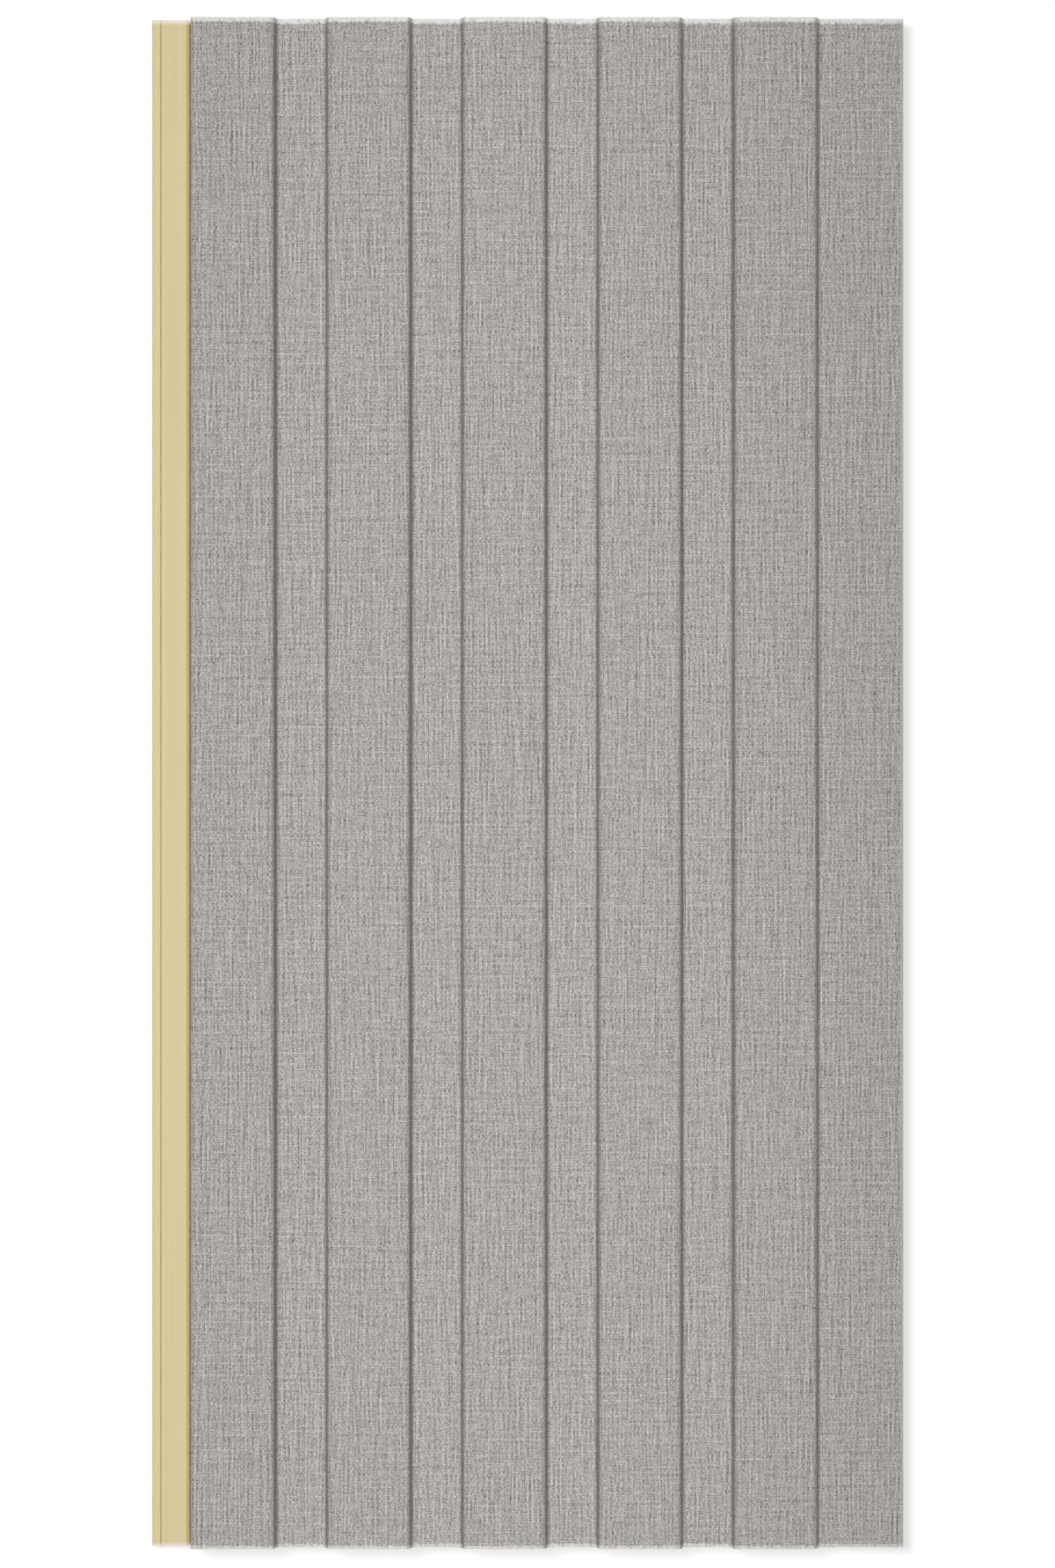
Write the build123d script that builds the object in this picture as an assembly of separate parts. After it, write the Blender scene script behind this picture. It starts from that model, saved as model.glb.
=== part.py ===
"""Composite wall panel: a foamed board extruded with broad flat ribs on its face, and a
linen-look film laminated over that face. A bare tongue runs along the left edge and a lap lip
along the right edge, so that each panel's lip covers the tongue of the next.

The panel lies on its back. X runs across it from the tongue to the lip, Y along the sawn length
and Z out of the face. The origin is at the middle of the back.
"""

from build123d import *
import math
import os

# Ribs on the face, in millimetres and degrees, measured over the film.
panel_length = 304.8
rib_count = 5
rib_pitch = 27.0
rib_width = 16.75  # at half the rib's height
first_rib_width = 16.85  # from the upright joint side to half the height of its right wall
rib_height = 4.0
wall_draft = 8.5  # lean of a rib's wall away from upright
crest_radius = 1.0
foot_radius = 0.8
film_thickness = 0.3

# Tongue along the left edge.
tongue_width = 7.9  # from its tip to the joint side
tongue_thickness = 3.0
tongue_tip_radius = 0.3
nail_line_offset = 1.75  # from the tip to the bottom of the nailing line
nail_line_width = 0.32
nail_line_depth = 0.3
relief_width = 1.1  # slopes down to the foot of the joint side, clear of the next lip's hem
relief_depth = 0.8

# Lap lip along the right edge, which covers the tongue of the next panel.
end_land_width = 17.25  # from half the height of the last rib's wall to the edge
lip_thickness = 2.8
lap_clearance = 0.2  # between the lip and the tongue below it
tip_clearance = 0.3  # between the tongue's tip and the end of the rebate
rebate_radius = 0.5

# Shallow glue channels in the back, one behind each rib.
glue_channel_width = 8.0
glue_channel_depth = 0.6

# Levels above the back.
hem_level = tongue_thickness - relief_depth
lip_underside = tongue_thickness + lap_clearance
floor_level = lip_underside + lip_thickness
crest_level = floor_level + rib_height

# Places across the width. The joint side is the upright left face of the first rib, down to the tongue.
overall_width = tongue_width + first_rib_width + (rib_count - 1) * rib_pitch + end_land_width
tongue_tip = -overall_width / 2
joint_side = tongue_tip + tongue_width
lip_edge = overall_width / 2
rebate_wall = lip_edge - tongue_width - tip_clearance
rib_rights = [joint_side + first_rib_width + index * rib_pitch for index in range(rib_count)]


def face_line(inset):
    """The line of the face, set back by inset from the finished surface.

    It runs up the joint side, over every rib and down the edge of the lip.
    """
    half_run = rib_height * math.tan(math.radians(wall_draft)) / 2
    wall_shift = inset * math.tan(math.radians(90 - wall_draft) / 2)
    joint = joint_side + inset
    crest = crest_level - inset
    floor = floor_level - inset
    convex = crest_radius - inset
    concave = foot_radius + inset

    points = [(joint, hem_level), (joint, crest)]
    radii = [convex]
    for right in rib_rights:
        if right != rib_rights[0]:
            left = right - rib_width
            points += [(left - half_run + wall_shift, floor), (left + half_run + wall_shift, crest)]
            radii += [concave, convex]
        points += [(right - half_run - wall_shift, crest), (right + half_run - wall_shift, floor)]
        radii += [convex, concave]
    points += [(lip_edge - inset, floor), (lip_edge - inset, lip_underside)]
    radii.append(convex)
    return FilletPolyline(*points, radius=radii)


def nail_line():
    """The fine V groove along the tongue that shows where to nail."""
    place = tongue_tip + nail_line_offset
    half = nail_line_width / 2
    return make_face(
        Polyline(
            (place - half, tongue_thickness),
            (place + half, tongue_thickness),
            (place, tongue_thickness - nail_line_depth),
            close=True,
        )
    )


def glue_channel(middle):
    """A shallow channel in the back with sides sloped at 45 degrees."""
    half = glue_channel_width / 2
    top_half = half - glue_channel_depth
    return make_face(
        Polyline(
            (middle - half, 0),
            (middle + half, 0),
            (middle + top_half, glue_channel_depth),
            (middle - top_half, glue_channel_depth),
            close=True,
        )
    )


def rounded_near(section, radius, *corners):
    """The section with the corners nearest to the given points rounded."""
    nearest = [section.vertices().sort_by_distance(corner)[0] for corner in corners]
    return fillet(nearest, radius)


def board_section():
    """The board's section: face line, lip, rebate, back, tongue and the relief beside the joint."""
    face = face_line(film_thickness)
    underside = Polyline(
        face @ 1,
        (rebate_wall, lip_underside),
        (rebate_wall, 0),
        (tongue_tip, 0),
        (tongue_tip, tongue_thickness),
        (joint_side - relief_width, tongue_thickness),
        (joint_side, hem_level),
        face @ 0,
    )
    section = make_face([*face.edges(), *underside.edges()])
    section = rounded_near(section, rebate_radius, (rebate_wall, lip_underside))
    section = rounded_near(section, tongue_tip_radius, (tongue_tip, 0), (tongue_tip, tongue_thickness))
    section -= nail_line()
    for right in rib_rights:
        section -= glue_channel(right - rib_width / 2)
    return section


def film_section():
    """The film's section: the band between the finished surface and the board's face line."""
    board_side = face_line(film_thickness)
    finished_side = face_line(0)
    ends = [Line(finished_side @ end, board_side @ end) for end in (0, 1)]
    return make_face([*finished_side.edges(), *board_side.edges(), *ends])


def sawn_length(section):
    """A section drawn in X and Z, run along the panel's length about its middle."""
    return extrude(Plane.XZ * section, amount=panel_length / 2, both=True)


os.makedirs("parts", exist_ok=True)
export_step(sawn_length(board_section()), "parts/extruded_board.step")
export_step(sawn_length(film_section()), "parts/linen_film.step")
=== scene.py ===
import math

import bmesh
import bpy
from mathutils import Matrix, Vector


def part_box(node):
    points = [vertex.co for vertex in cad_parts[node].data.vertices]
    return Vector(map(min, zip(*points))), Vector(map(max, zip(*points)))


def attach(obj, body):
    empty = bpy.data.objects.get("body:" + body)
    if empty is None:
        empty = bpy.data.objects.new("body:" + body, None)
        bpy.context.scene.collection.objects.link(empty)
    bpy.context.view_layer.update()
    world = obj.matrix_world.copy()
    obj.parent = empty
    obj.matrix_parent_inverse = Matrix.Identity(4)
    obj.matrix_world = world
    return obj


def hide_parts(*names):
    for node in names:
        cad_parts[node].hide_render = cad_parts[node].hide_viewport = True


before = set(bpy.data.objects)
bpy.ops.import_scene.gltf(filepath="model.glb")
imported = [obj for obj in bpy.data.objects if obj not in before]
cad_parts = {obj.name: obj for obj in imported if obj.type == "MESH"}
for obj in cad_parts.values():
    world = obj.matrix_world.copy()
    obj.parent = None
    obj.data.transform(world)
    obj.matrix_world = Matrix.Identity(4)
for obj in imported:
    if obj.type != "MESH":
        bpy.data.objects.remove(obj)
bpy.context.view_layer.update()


# Extruded board
# The board is foamed plastic, extruded in one length with its ribs, tongue and lap lip and then
# sawn. Its cream skin shows on the tongue and the back, and the cut foam shows on both ends.


class Shade:
    """A socket of a material's nodes. Arithmetic on it adds Math nodes to the same material."""

    def __init__(self, tree, socket=None):
        self.tree = tree
        self.socket = socket

    def node(self, kind, settings=None, sockets=None, output=0):
        """Adds a node: its settings first, then the value or link of each socket that is named."""
        added = self.tree.nodes.new(kind)
        for name, value in (settings or {}).items():
            setattr(added, name, value)
        for name, value in (sockets or {}).items():
            if isinstance(value, Shade):
                self.tree.links.new(value.socket, added.inputs[name])
            else:
                added.inputs[name].default_value = value
        return Shade(self.tree, added.outputs[output])

    def math(self, operation, *values):
        return self.node("ShaderNodeMath", {"operation": operation}, dict(enumerate(values)))

    def rise(self, low, high):
        """A smooth step from 0 at low to 1 at high."""
        limits = {"Value": self, "From Min": low, "From Max": high}
        return self.node("ShaderNodeMapRange", {"interpolation_type": "SMOOTHSTEP"}, limits)

    def mix(self, first, second):
        """The first colour where this value is 0, going over to the second where it is 1."""
        return self.node("ShaderNodeMix", {"data_type": "RGBA"}, {0: self, 6: first, 7: second}, 2)

    def noise(self, scale, detail=2.0, roughness=0.5):
        """Noise over this vector, stretched by the scale in cells per metre along each axis."""
        spread = self.node("ShaderNodeMapping", sockets={"Vector": self, "Scale": scale})
        grain = {"Vector": spread, "Scale": 1.0, "Detail": detail, "Roughness": roughness}
        return self.node("ShaderNodeTexNoise", sockets=grain)

    def __add__(self, other):
        return self.math("ADD", self, other)

    def __sub__(self, other):
        return self.math("SUBTRACT", self, other)

    def __rsub__(self, other):
        return self.math("SUBTRACT", other, self)

    def __mul__(self, other):
        return self.math("MULTIPLY", self, other)

    __radd__ = __add__
    __rmul__ = __mul__


def axes_of(vector):
    """The three parts of a vector."""
    return [vector.node("ShaderNodeSeparateXYZ", sockets={"Vector": vector}, output=i) for i in range(3)]


def surface(finish, colour, roughness, height, depth):
    """Joins a finish's colour, roughness and relief to its shader. Depth is the relief's, in metres."""
    shader = finish.node_tree.nodes["Principled BSDF"]
    relief = {"Height": height, "Distance": depth}
    normal = height.node("ShaderNodeBump", sockets=relief)
    for name, value in {"Base Color": colour, "Roughness": roughness, "Normal": normal}.items():
        finish.node_tree.links.new(value.socket, shader.inputs[name])
    return shader


def new_finish(name):
    """A material with an empty Shade to start its nodes from."""
    finish = bpy.data.materials.new(name)
    finish.use_nodes = True
    return finish, Shade(finish.node_tree)


def foamed_board_finish(low, high):
    """Cream foamed plastic: drawn lines in its skin, pores on the ends, and painted shade and highlight
    on the tongue.
    """
    tongue_width = 0.0079
    nail_line_offset = 0.00175
    skin_light = (0.722, 0.600, 0.330, 1)
    skin_dark = (0.672, 0.550, 0.292, 1)
    # Painted highlight: a paler cream for the lit edge beside the nail line's groove.
    painted_highlight = (0.755, 0.640, 0.370, 1)
    # Painted shade: a deeper, darker yellow for the tongue where the first rib shades it.
    corner_shade_ochre = (0.730, 0.580, 0.240, 1)
    # Painted shade: a dark brown for the crevice where the film's hem meets the tongue.
    hem_crevice_shade = (0.270, 0.215, 0.145, 1)
    # Painted shade: a darker cream for the shaded nail line's groove.
    nail_line_shade = (0.680, 0.565, 0.275, 1)
    lip_skin = (0.742, 0.608, 0.308, 1)
    cut_foam = (0.800, 0.715, 0.520, 1)
    pore = (0.560, 0.450, 0.260, 1)
    whitened = (0.870, 0.825, 0.715, 1)
    end_skin = 0.00002
    highlight_offset = 0.00035
    corner_shade_near, corner_shade_far = 0.0008, 0.0019
    hem_shade_near, hem_shade_far, hem_shade_wander = 0.0002, 0.0005, 0.0003
    top_near, top_far = 0.0002, 0.0011
    bottom_near, bottom_far = 0.0, 0.0008
    pores_per_metre = 3200.0
    relief_depth = 0.00006

    finish, start = new_finish("foamed_board")
    spot = start.node("ShaderNodeTexCoord", output="Object")
    across, along, height = axes_of(spot)
    drawn = spot.noise((1400, 5, 1400), 3.0, 0.6)
    patches = spot.noise((60, 18, 60), 2.0)
    skin = (drawn * 0.55 + patches * 0.45).rise(0.30, 0.70).mix(skin_dark, skin_light)

    on_face = height.rise(0.0010, 0.0015)
    from_nail_line = across - (low.x + nail_line_offset)
    skin = ((1 - from_nail_line.rise(-0.0002, 0.0001)) * on_face).mix(skin, lip_skin)
    # Painted highlight along the edge beside the nail line's groove.
    beside = from_nail_line.math("ABSOLUTE", from_nail_line - highlight_offset)
    skin = ((1 - beside.rise(0.0001, 0.0005)) * on_face * 0.5).mix(skin, painted_highlight)
    # Painted shade in the nail line's groove.
    in_line = 1 - from_nail_line.math("ABSOLUTE", from_nail_line).rise(0.0001, 0.0002)
    skin = (in_line * on_face).mix(skin, nail_line_shade)

    from_joint = low.x + tongue_width - across
    distance = from_joint.math("ABSOLUTE", from_joint)
    # Painted shade on the tongue and joint side by the first rib.
    skin = ((1 - distance.rise(corner_shade_near, corner_shade_far)) * on_face).mix(skin, corner_shade_ochre)
    # Painted shade: a dark, wandering line in the crevice at the film's hem.
    wander = spot.noise((300, 1100, 300), 2.0, 0.7) * hem_shade_wander
    hem_shade_mask = 1 - distance.rise(hem_shade_near + wander, hem_shade_far + wander)
    skin = (hem_shade_mask * on_face).mix(skin, hem_crevice_shade)

    from_top = high.y - along
    from_bottom = along - low.y
    top_pale = 1 - from_top.rise(top_near, top_far)
    bottom_pale = 1 - from_bottom.rise(bottom_near, bottom_far)
    skin = top_pale.math("MAXIMUM", top_pale, bottom_pale).mix(skin, whitened)

    cells = spot.node("ShaderNodeTexVoronoi", sockets={"Vector": spot, "Scale": pores_per_metre})
    saw_marks = spot.noise((300, 300, 5200), 2.0)
    cut_tone = (1 - cells.rise(0.18, 0.42)) * 0.6 + saw_marks * 0.25
    cut = cut_tone.mix(cut_foam, pore)
    from_end = from_top.math("MINIMUM", from_top, from_bottom)
    on_end = 1 - from_end.rise(0.0, end_skin)
    colour = on_end.mix(skin, cut)
    roughness = 0.52 + drawn * 0.12 + on_end * 0.25
    bumps = drawn * 0.4 + on_end * (cells + saw_marks)
    surface(finish, colour, roughness, bumps, relief_depth)
    return finish


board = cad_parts["extruded_board"]
board_low, board_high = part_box("extruded_board")
board.data.materials.clear()
board.data.materials.append(foamed_board_finish(board_low, board_high))


# Linen film
# The face is covered by a thin printed and embossed film with a linen weave. It is glued on from
# the roll, wraps down the first rib's side to the tongue and over the edge of the lap lip, and is
# sawn off with the board, which whitens it along the cut.
rib_count = 5
rib_pitch = 0.0270
rib_width = 0.01675
first_rib_width = 0.01685
rib_height = 0.0040
wall_draft = math.radians(8.5)
crest_radius = 0.0010
foot_radius = 0.0008
film_thickness = 0.0003
lip_thickness = 0.0028
fold_segments = 7

film_low, film_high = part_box("linen_film")
joint_side, lip_edge = film_low.x, film_high.x
hem_level, crest_level = film_low.z, film_high.z
floor_level = crest_level - rib_height
lip_underside = floor_level - lip_thickness
film_length = film_high.y - film_low.y


def face_corners():
    """The face line's corners after the top of the joint side, over the ribs to the lip's underside."""
    half_run = rib_height * math.tan(wall_draft) / 2
    corners = []
    for index in range(rib_count):
        right = joint_side + first_rib_width + index * rib_pitch
        left = right - rib_width
        if index:
            corners += [(left - half_run, floor_level), (left + half_run, crest_level)]
        corners += [(right - half_run, crest_level), (right + half_run, floor_level)]
    return corners + [(lip_edge, floor_level), (lip_edge, lip_underside)]


def pick_edges(piece, chosen):
    """Selects the edges of the piece in edit mode whose two ends answer to chosen, and no others."""
    bpy.ops.mesh.select_all(action="DESELECT")
    mesh = bmesh.from_edit_mesh(piece.data)
    for edge in mesh.edges:
        if all(chosen(end.co) for end in edge.verts):
            edge.select_set(True)
    bmesh.update_edit_mesh(piece.data)


def near(value, level):
    """Whether a coordinate lies on a level, to a hundredth of a millimetre."""
    return abs(value - level) < 0.00001


def round_folds(piece, radius, turn, chosen):
    """Rounds the chosen folds of the piece to a radius, where its face turns by an angle."""
    pick_edges(piece, chosen)
    bpy.ops.mesh.bevel(offset=radius * math.tan(turn / 2), segments=fold_segments, clamp_overlap=False)


def lay_threads(piece):
    """Maps the piece as the flat film came off the roll: across the threads, then along them."""
    mesh = piece.data
    places = {}
    for vertex in mesh.vertices:
        x, z = round(vertex.co.x, 7), round(vertex.co.z, 7)
        places[(x, z if near(x, joint_side) else -z)] = (x, z)
    section = [places[key] for key in sorted(places)]
    runs = {section[0]: 0.0}
    for before, after in zip(section, section[1:]):
        runs[after] = runs[before] + math.dist(before, after)
    thread_map = mesh.uv_layers.new(name="thread_map")
    for loop in mesh.loops:
        place = mesh.vertices[loop.vertex_index].co
        across = runs[(round(place.x, 7), round(place.z, 7))]
        thread_map.data[loop.index].uv = (across, place.y)


bpy.ops.object.select_all(action="DESELECT")
bpy.ops.mesh.primitive_plane_add(
    size=1,
    location=(joint_side, 0, (crest_level + hem_level) / 2),
    rotation=(0, -math.pi / 2, 0),
)
film = bpy.context.object
film.name = "linen_wrap"
film.data.name = "linen_wrap"
film.scale = (crest_level - hem_level, film_length, 1)
bpy.ops.object.transform_apply(location=True, rotation=True, scale=True)

bpy.ops.object.mode_set(mode="EDIT")
bpy.ops.mesh.select_mode(type="EDGE")
pick_edges(film, lambda place: near(place.z, crest_level))
last = (joint_side, crest_level)
for corner in face_corners():
    step = (corner[0] - last[0], 0, corner[1] - last[1])
    bpy.ops.mesh.extrude_region_move(TRANSFORM_OT_translate={"value": step})
    last = corner
wall_turn = math.pi / 2 - wall_draft


def on_wall(place, level):
    """Whether a place is at a level of the ribs' walls, between the panel's two long edges."""
    return near(place.z, level) and joint_side + crest_radius < place.x < lip_edge - crest_radius


def on_edge(place):
    """Whether a place is where the film turns down squarely, over the joint side or over the lip."""
    over_joint = near(place.x, joint_side) and near(place.z, crest_level)
    return over_joint or near(place.x, lip_edge) and near(place.z, floor_level)


round_folds(film, crest_radius, wall_turn, lambda place: on_wall(place, crest_level))
round_folds(film, foot_radius, wall_turn, lambda place: on_wall(place, floor_level))
round_folds(film, crest_radius, math.pi / 2, on_edge)
bpy.ops.object.mode_set(mode="OBJECT")
lay_threads(film)
backing = film.modifiers.new("film_thickness", "SOLIDIFY")
backing.thickness = film_thickness
backing.offset = -1
backing.use_even_offset = True
bpy.ops.object.modifier_apply(modifier=backing.name)
bpy.ops.object.shade_smooth_by_angle(angle=math.radians(30))


def linen_finish(low, high):
    """Grey linen print: slubbed upright threads over finer cross threads, whitened at the saw cuts, with
    painted shade on the ribs' walls and a painted highlight along the lip's fold.
    """
    warp_pitch = 0.00043
    weft_pitch = 0.00053
    dark_thread = (0.126, 0.116, 0.108, 1)
    light_thread = (0.694, 0.662, 0.637, 1)
    whitened = (0.850, 0.850, 0.835, 1)
    top_cut_run = 0.00094
    bottom_cut_run = 0.00064
    cut_blur = 0.00012
    fray = 0.0008
    highlight_from, highlight_to = 0.0008, 0.0001
    relief_depth = 0.00005

    finish, start = new_finish("linen_film")
    sheet = start.node("ShaderNodeUVMap", {"uv_map": "thread_map"})
    across, along = axes_of(sheet)[:2]

    def thread_noise(first, second, detail):
        joined = first.node("ShaderNodeCombineXYZ", sockets={0: first, 1: second})
        grain = {"Vector": joined, "Scale": 1.0, "Detail": detail, "Roughness": 0.65}
        return first.node("ShaderNodeTexNoise", {"noise_dimensions": "2D"}, grain)

    warp = across * (1 / warp_pitch) + thread_noise(across * 150, along * 10, 1.0)
    weft = along * (1 / weft_pitch) + thread_noise(across * 8, along * 150, 1.0) * 2.2
    thread, pick = warp.math("FLOOR", warp), weft.math("FLOOR", weft)
    gap = warp.math("ROUND", warp)

    slub = thread_noise(thread * 0.12, along * 60, 1.0) + thread_noise(thread * 0.12, along * 190, 1.0)
    nub = thread_noise(thread * 0.12, along * 1800, 1.0)
    loose = thread_noise(thread * 3.71, along * 80, 2.0)
    beside = thread_noise((thread + 1) * 3.71, along * 80, 2.0)
    seam = thread_noise(gap * 4.53, along * 60, 3.0)
    next_seam = thread_noise((gap + 1) * 4.53, along * 60, 3.0)
    line = thread_noise(across * 45, pick * 0.31, 2.0)
    fibre = thread_noise(across * 3300, along * 3600, 1.0)
    cloud = thread_noise(across * 420, along * 600, 2.0)
    knot = thread_noise(across * 700, along * 400, 1.0)
    grain = thread_noise(across * 2200, along * 1900, 1.0)
    slope = axes_of(start.node("ShaderNodeNewGeometry", output="Normal"))[2]
    # Painted shade: the film is painted darker where its face is steep, on the ribs' walls.
    steep_wall_shade = 1 - slope.rise(0.12, 0.45)

    over = warp.math("SINE", warp * math.pi)
    under = weft.math("SINE", weft * math.pi)
    body = over.math("ABSOLUTE", over)
    beat = under.math("ABSOLUTE", under)
    height = body * 0.6 + beat * 0.25 + fibre * 0.5
    open_gap = (1 - body) * (1 - body)

    streak = (slub + nub * 2.4 - 2.2) * over * 0.3 + (loose - beside * 0.75 - 0.125) * body * 0.7
    tone = 0.58 + streak * (0.5 + beat * 0.8) + (line - 0.5) * under * 0.5 + fibre - 0.5
    tone = tone - open_gap * (0.22 + (seam - next_seam * 0.8 - 0.1) * 1.5)
    tone = tone + (beat - 0.64) * (0.1 + (knot - 0.5) * 0.9) + (grain - 0.5) * 0.75
    # Painted shade on the steep walls.
    tone = tone + (cloud - 0.5) * 0.36 - steep_wall_shade * 0.14
    colour = tone.mix(dark_thread, light_thread)

    top_cut = high.y - along
    bottom_cut = along - low.y
    frayed = thread_noise(thread * 2.31, along * 300, 1.0) - 0.5
    top_run = top_cut_run + frayed * fray
    bottom_run = bottom_cut_run + frayed * fray
    top_band = 1 - top_cut.rise(top_run - cut_blur * 2, top_run + cut_blur * 2)
    bottom_band = 1 - bottom_cut.rise(bottom_run - cut_blur, bottom_run + cut_blur)
    tick = thread_noise(thread * 3.71, along * 900, 1.0) - 0.5
    white_share = top_band * (0.85 + tick * 1.2) + bottom_band * (0.57 + tick * 1.2)
    place = axes_of(start.node("ShaderNodeTexCoord", output="Object"))[0]
    # Painted highlight along the lip's fold, mixed to the same pale white as the saw cuts.
    painted_highlight = place.rise(high.x - highlight_from, high.x - highlight_to)
    colour = (white_share + painted_highlight * 0.6).mix(colour, whitened)
    roughness = 0.62 + fibre * 0.16
    shader = surface(finish, colour, roughness, height, relief_depth)
    shader.inputs["Specular IOR Level"].default_value = 0.3
    return finish


film.data.materials.append(linen_finish(film_low, film_high))
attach(film, "root")
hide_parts("linen_film")


# Floor
# A plain white table top. It takes the panel's soft shadow, and whatever is white in it stays white
# to the eye however the light falls off. It isn't there from below, and the seat where the panel's
# back lies on it lets light through from below, so that the back can be seen and lit.
floor_size = 12.0
rebate_width = 0.0082
seat_margin = 0.0003
seat_drop = 0.0001
table_white = (0.80, 0.80, 0.80, 1)
seat_width = board_high.x - rebate_width - board_low.x - seat_margin * 2
seat_length = film_length - seat_margin * 2

bpy.ops.object.select_all(action="DESELECT")
bpy.ops.mesh.primitive_plane_add(size=floor_size, location=(0, 0, 0))
floor = bpy.context.object
floor.name = "floor"
bpy.ops.object.mode_set(mode="EDIT")
bpy.ops.mesh.select_all(action="SELECT")
bpy.ops.mesh.inset(thickness=(floor_size - seat_length) / 2)
bpy.ops.transform.resize(value=(seat_width / seat_length, 1, 1))
bpy.ops.transform.translate(value=(board_low.x + seat_margin + seat_width / 2, 0, -seat_drop))
bpy.ops.object.mode_set(mode="OBJECT")


def seen_directly(start):
    """1 for what the eye sees, straight or by a mirror or through glass, and 0 for other light."""
    paths = [
        start.node("ShaderNodeLightPath", output=name)
        for name in ("Is Camera Ray", "Is Glossy Ray", "Is Transmission Ray")
    ]
    return paths[0].math("MAXIMUM", paths[0], paths[0].math("MAXIMUM", paths[1], paths[2]))


def floor_finish():
    """White paint with a lift to full white, and nothing at all on its underside."""
    seen_white = (0.38, 0.38, 0.38, 1)
    lift = 0.70
    finish, start = new_finish("white_table")
    tree = finish.node_tree
    seen = seen_directly(start)
    paint = start.node("ShaderNodeBsdfDiffuse", sockets={"Color": seen.mix(table_white, seen_white)})
    glow = start.node("ShaderNodeEmission", sockets={"Strength": seen * lift})
    top = start.node("ShaderNodeAddShader", sockets={0: paint, 1: glow})
    below = start.node("ShaderNodeBsdfTransparent")
    underside = start.node("ShaderNodeNewGeometry", output="Backfacing")
    both = start.node("ShaderNodeMixShader", sockets={0: underside, 1: top, 2: below})
    tree.links.new(both.socket, tree.nodes["Material Output"].inputs["Surface"])
    return finish


def seat_finish():
    """The same paint in the panel's shade, for the eye above alone. Light from below goes through it."""
    finish, start = new_finish("shaded_seat")
    tree = finish.node_tree
    paint = start.node("ShaderNodeBsdfDiffuse", sockets={"Color": table_white})
    air = start.node("ShaderNodeBsdfTransparent")
    underside = start.node("ShaderNodeNewGeometry", output="Backfacing")
    seen_above = seen_directly(start) * (1 - underside)
    both = start.node("ShaderNodeMixShader", sockets={0: seen_above, 1: air, 2: paint})
    tree.links.new(both.socket, tree.nodes["Material Output"].inputs["Surface"])
    return finish


floor.data.materials.append(floor_finish())
floor.data.materials.append(seat_finish())
seat = min(floor.data.polygons, key=lambda face: face.area)
seat.material_index = 1


# Light and camera
# One large soft lamp hangs above, towards the upper left, in a pale room, and a weak spot adds a
# little to the middle of the panel. A lower lamp lights the table alone, for a longer shadow, and a
# level lamp stands off each sawn end. The camera looks straight down on the middle of the panel
# from well above, as through a long lens.


def sun_lamp(name, strength, spread, left, up):
    """Adds a far, soft lamp, leaned to the left and up the panel. The angles are in degrees."""
    lean = (-math.radians(up), -math.radians(left), 0)
    bpy.ops.object.light_add(type="SUN", location=(0, 0, 1), rotation=lean)
    source = bpy.context.object
    source.name = name
    source.data.energy = strength
    source.data.angle = math.radians(spread)
    return source


def light_only(source, *lit):
    """Makes a lamp light these things alone. All things still shade them."""
    reached = bpy.data.collections.new("lit_by_" + source.name)
    for thing in lit:
        reached.objects.link(thing)
    source.light_linking.receiver_collection = reached


light_only(sun_lamp("soft_lamp", strength=2.355, spread=24, left=3.7, up=12), board, film)
light_only(sun_lamp("table_lamp", strength=2.6, spread=22, left=19, up=12), floor)
light_only(sun_lamp("top_end_lamp", strength=0.9, spread=4, left=0, up=90), board, film)
light_only(sun_lamp("bottom_end_lamp", strength=1.4, spread=4, left=0, up=-90), board, film)

pool_power = 14.5
pool_centre = (-0.011, -0.034, 1.7)
pool_reach = 0.33
pool_narrowing = 0.30
bpy.ops.object.light_add(type="SPOT", location=pool_centre)
pool = bpy.context.object
pool.name = "weak_spot"
pool.scale.x = pool_narrowing
pool.data.energy = pool_power
pool.data.spot_size = 2 * math.atan(pool_reach / pool_centre[2])
pool.data.spot_blend = 1.0
pool.data.shadow_soft_size = 0.02
light_only(pool, board, film)

room_strength = 0.05
horizon_strength = 0.12
horizon_low, horizon_high = 0.02, 0.16
below_strength = 0.70
below_low, below_high = -0.04, -0.01
room = bpy.data.worlds.new("pale_room")
bpy.context.scene.world = room
room.use_nodes = True
room_start = Shade(room.node_tree)
height_of_sky = axes_of(room_start.node("ShaderNodeTexCoord", output="Generated"))[2]
horizon = 1 - height_of_sky.rise(horizon_low, horizon_high)
below = 1 - height_of_sky.rise(below_low, below_high)
room_dim = room_strength + horizon * (horizon_strength - room_strength)
room_dim = room_dim + below * (below_strength - horizon_strength)
room_light = room_dim + seen_directly(room_start) * (1 - room_dim)
room_sky = room.node_tree.nodes["Background"]
room_sky.inputs["Color"].default_value = (1, 1, 1, 1)
room.node_tree.links.new(room_light.socket, room_sky.inputs["Strength"])

camera_distance = 1.66
view_height = 0.31195
sensor = 36.0
frame_pixels = 1783
panel_rise_pixels = 1.1

bpy.ops.object.camera_add(location=(0, 0, crest_level + camera_distance), rotation=(0, 0, 0))
camera = bpy.context.object
camera.name = "long_lens"
camera.data.sensor_width = sensor
camera.data.lens = sensor * camera_distance / view_height
camera.data.shift_y = -panel_rise_pixels / frame_pixels
camera.data.clip_end = 20.0
bpy.context.scene.camera = camera
bpy.context.scene.view_settings.view_transform = "Standard"
